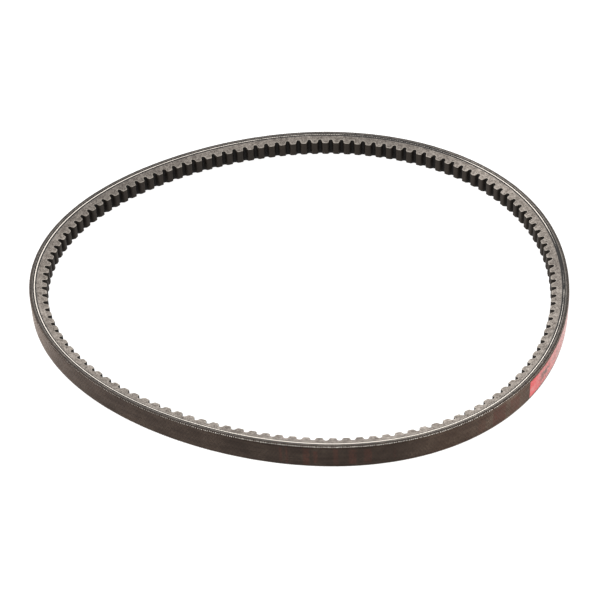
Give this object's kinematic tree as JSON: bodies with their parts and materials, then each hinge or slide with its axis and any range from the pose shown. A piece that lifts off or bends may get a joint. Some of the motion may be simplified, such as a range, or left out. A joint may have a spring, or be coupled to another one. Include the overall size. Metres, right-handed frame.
{
  "type": "cogged v belt",
  "caption": "Endless raw-edge V-belt with moulded cogs, fabric-covered back, wound tensile cord and a red transfer label, lying free on its side.",
  "frame": {"origin": "middle of the loop's outside box, on the surface that the belt's lower edge lies on", "axes": "+Z across the belt's width, from the lower flank to the upper; +X along the loop's longest extent, towards its fuller end; the belt's length runs round +Z"},
  "size_m": [0.2819, 0.272, 0.0127],
  "materials": {
    "cover_fabric": "woven rubberised cotton-polyester, matt, dark brown-grey",
    "inner_fabric": "rubberised ply seen on its cut edge, dark",
    "overcord_rubber": "cut rubber, dark and matt",
    "adhesion_gum": "black gum, slightly shiny",
    "tensile_cord": "twisted polyester, off-white where it is cut",
    "compression_rubber": "ground rubber with chopped fibres, taupe grey; darker in the moulded notches",
    "label_ink": "red transfer film, worn"
  },
  "bodies": {
    "root": {"cover_fabric_outer_ply": "cover_fabric", "cover_fabric_inner_ply": "inner_fabric", "overcord_rubber": "overcord_rubber", "upper_adhesion_gum": "adhesion_gum", "tensile_cord": "tensile_cord", "lower_adhesion_gum": "adhesion_gum", "compression_rubber": "compression_rubber", "transfer_label": "label_ink"}
  },
  "joints": []
}
